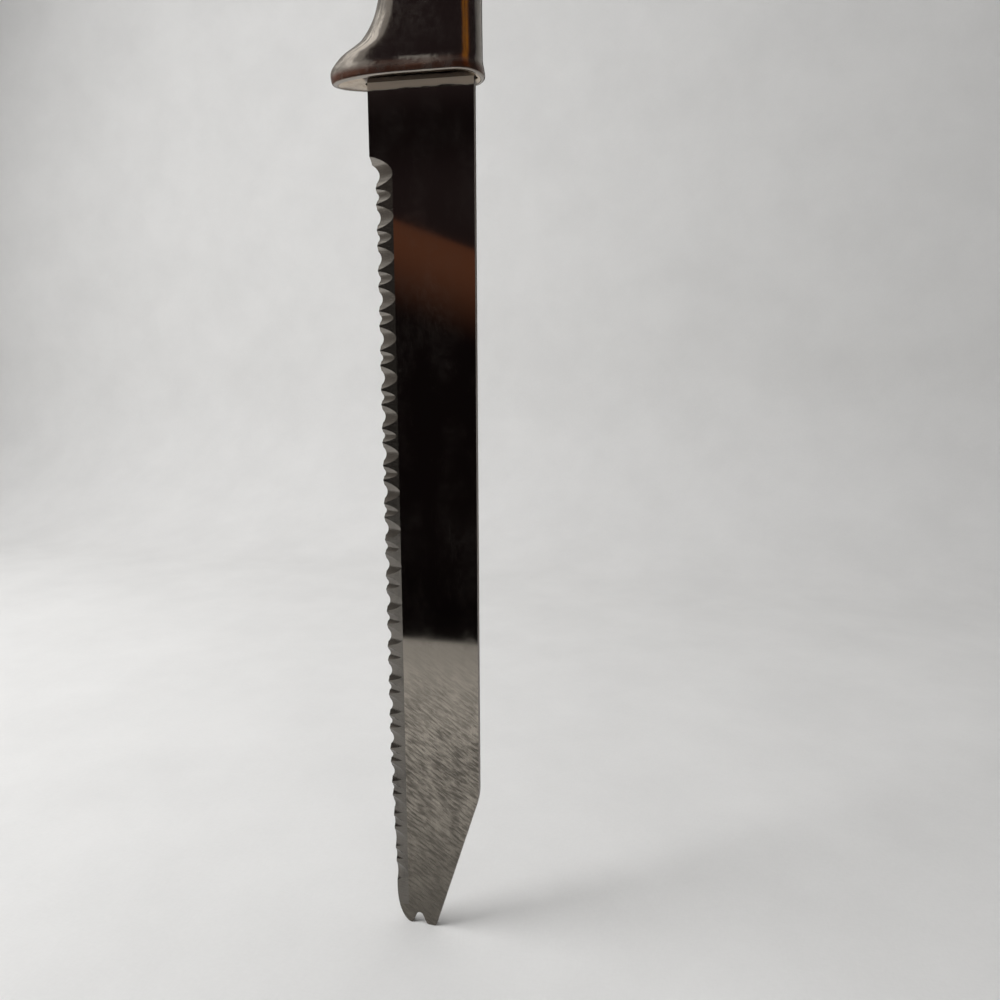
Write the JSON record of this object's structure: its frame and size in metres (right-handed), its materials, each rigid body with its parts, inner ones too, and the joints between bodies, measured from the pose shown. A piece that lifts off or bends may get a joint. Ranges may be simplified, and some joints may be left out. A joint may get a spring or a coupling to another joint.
{
  "type": "frozen food knife",
  "caption": "Frozen food knife: a long flat blade with ground scallops along one edge and a forked clipped tip, set in a hollow polished metal handle with a guard nose.",
  "frame": {"origin": "under the middle of the knife's outline seen from the front, on the level of the tips of the prongs, midway through the blade's thickness", "axes": "+Z along the blade from the tips of the prongs to the butt of the handle, +X from the cutting edge to the spine, -Y out of the ground front face"},
  "size_m": [0.0368, 0.0136, 0.3351],
  "materials": {
    "blade_steel": "mirror-polished stainless steel with fine handling scratches",
    "handle_steel": "mirror-polished stainless steel sheet",
    "plate_steel": "satin stainless steel sheet",
    "cement": "cast setting compound, dull and dark"
  },
  "bodies": {
    "root": {"blade": "blade_steel", "handle_shell_front": "handle_steel", "handle_shell_back": "handle_steel", "end_plate": "plate_steel", "tang_cement": "cement"}
  },
  "joints": []
}
